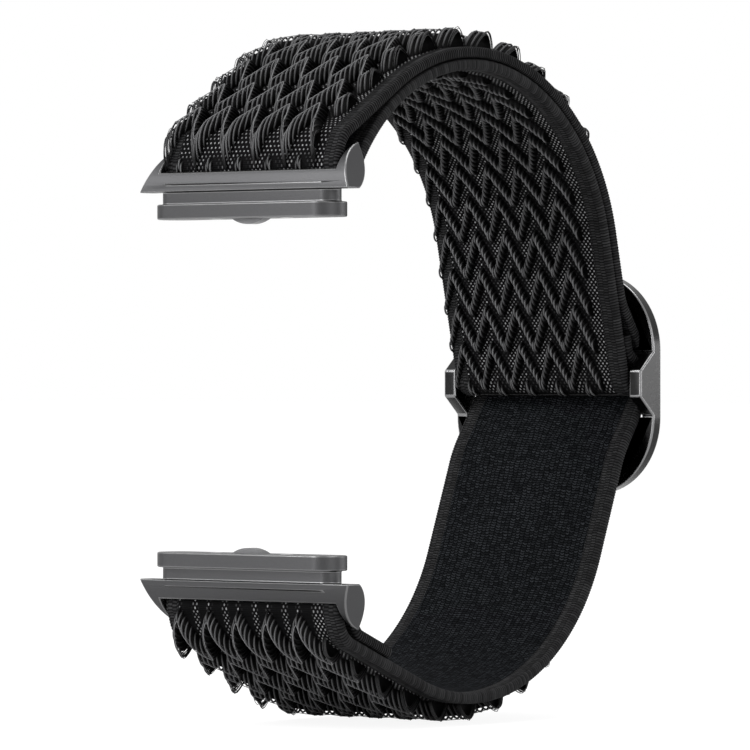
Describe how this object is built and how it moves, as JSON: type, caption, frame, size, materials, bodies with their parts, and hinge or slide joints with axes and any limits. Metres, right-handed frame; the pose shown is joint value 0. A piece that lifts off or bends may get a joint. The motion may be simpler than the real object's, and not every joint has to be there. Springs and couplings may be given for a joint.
{
  "type": "elastic watch strap",
  "caption": "Elastic woven watch strap in one loop, with a sliding adjuster buckle on the wrist side and sprung slide-in lugs for the watch case",
  "frame": {"origin": "middle of the seat that the watch case fills between the two lugs", "axes": "+X across the strap towards the crown side, +Y from the watch face towards the wrist, +Z towards twelve o'clock"},
  "size_m": [0.0292, 0.0571, 0.0736],
  "materials": {
    "nylon_webbing": "black elastic nylon, zigzag waves raised on a knitted base",
    "sewing_thread": "black polyester thread",
    "slider_metal": "black plated, satin",
    "lug_metal": "dark grey plated, fine satin",
    "steel": "turned steel"
  },
  "bodies": {
    "strap": {"webbing_inner_lower": "nylon_webbing", "webbing_inner_upper": "nylon_webbing", "webbing_top_fold": "nylon_webbing", "webbing_outer_upper": "nylon_webbing", "webbing_outer_lower": "nylon_webbing", "webbing_lower_back": "nylon_webbing", "webbing_lower_front": "nylon_webbing", "webbing_bottom_fold": "nylon_webbing", "bottom_fold_stitching": "sewing_thread", "top_bar_tube": "steel", "top_bar_spring": "steel", "bottom_bar_tube": "steel", "bottom_bar_spring": "steel"},
    "slider": {"slider_frame": "slider_metal", "webbing_bar_fold": "nylon_webbing", "webbing_over_bar": "nylon_webbing", "bar_fold_stitching": "sewing_thread"},
    "top_lug": {"top_lug": "lug_metal", "top_catch_spring": "steel", "top_catch_cover": "lug_metal", "top_cover_screws": "steel"},
    "bottom_lug": {"bottom_lug": "lug_metal", "bottom_catch_spring": "steel", "bottom_catch_cover": "lug_metal", "bottom_cover_screws": "steel"},
    "top_catch": {"top_catch": "steel"},
    "bottom_catch": {"bottom_catch": "steel"},
    "top_tip_left": {"top_bar_tip_left": "steel"},
    "top_tip_right": {"top_bar_tip_right": "steel"},
    "bottom_tip_left": {"bottom_bar_tip_left": "steel"},
    "bottom_tip_right": {"bottom_bar_tip_right": "steel"}
  },
  "joints": [
    {"name": "slider_travel", "type": "hinge", "parent": "strap", "child": "slider", "pos_m": [0, 0.024, 0.001], "axis": [1, 0, 0], "range_deg": [-14, 8], "deforming": ["webbing_inner_lower", "webbing_outer_lower", "webbing_lower_back"]},
    {"name": "top_lug_swing", "type": "hinge", "parent": "strap", "child": "top_lug", "pos_m": [0, 0.0044, 0.0232], "axis": [1, 0, 0], "range_deg": [-25, 35]},
    {"name": "bottom_lug_swing", "type": "hinge", "parent": "strap", "child": "bottom_lug", "pos_m": [0, 0.0044, -0.0232], "axis": [-1, 0, 0], "range_deg": [-25, 35]},
    {"name": "top_catch_press", "type": "slide", "parent": "top_lug", "child": "top_catch", "axis": [0, 0, 1], "range_m": [0, 0.0006], "stiffness_N_per_m": 300, "deforming": ["top_catch_spring"]},
    {"name": "bottom_catch_press", "type": "slide", "parent": "bottom_lug", "child": "bottom_catch", "axis": [0, 0, -1], "range_m": [0, 0.0006], "stiffness_N_per_m": 300, "deforming": ["bottom_catch_spring"]},
    {"name": "top_tip_left_press", "type": "slide", "parent": "strap", "child": "top_tip_left", "axis": [1, 0, 0], "range_m": [0, 0.0006], "stiffness_N_per_m": 200},
    {"name": "top_tip_right_press", "type": "slide", "parent": "strap", "child": "top_tip_right", "axis": [-1, 0, 0], "range_m": [0, 0.0006], "stiffness_N_per_m": 200},
    {"name": "bottom_tip_left_press", "type": "slide", "parent": "strap", "child": "bottom_tip_left", "axis": [1, 0, 0], "range_m": [0, 0.0006], "stiffness_N_per_m": 200},
    {"name": "bottom_tip_right_press", "type": "slide", "parent": "strap", "child": "bottom_tip_right", "axis": [-1, 0, 0], "range_m": [0, 0.0006], "stiffness_N_per_m": 200}
  ]
}
